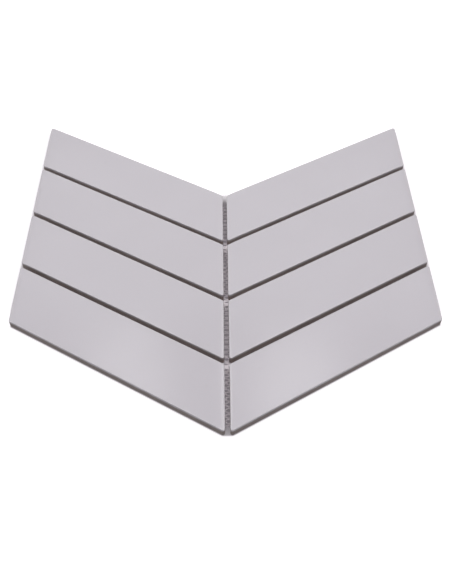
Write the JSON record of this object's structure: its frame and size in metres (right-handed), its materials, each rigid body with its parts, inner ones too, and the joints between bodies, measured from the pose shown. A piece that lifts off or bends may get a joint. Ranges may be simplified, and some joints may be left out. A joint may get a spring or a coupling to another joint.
{
  "type": "chevron mosaic tile sheet",
  "caption": "Chevron mosaic wall tile sheet: two mirrored columns of mitred, satin-glazed porcelain strips with open grout joints, glued to a hexagonal netting.",
  "frame": {"origin": "middle of the sheet's box, on the floor under the mesh backing", "axes": "+X across the two columns, +Y from the point of the V to its open end, +Z out of the glazed face"},
  "size_m": [0.2662, 0.2602, 0.0065],
  "materials": {
    "glazed_porcelain": "satin light grey glaze over a grey-brown fired body",
    "white_netting": "white knitted netting with hexagonal cells"
  },
  "bodies": {
    "root": {"tile_left_1": "glazed_porcelain", "tile_left_2": "glazed_porcelain", "tile_left_3": "glazed_porcelain", "tile_left_4": "glazed_porcelain", "tile_right_1": "glazed_porcelain", "tile_right_2": "glazed_porcelain", "tile_right_3": "glazed_porcelain", "tile_right_4": "glazed_porcelain", "mesh_backing": "white_netting"}
  },
  "joints": []
}
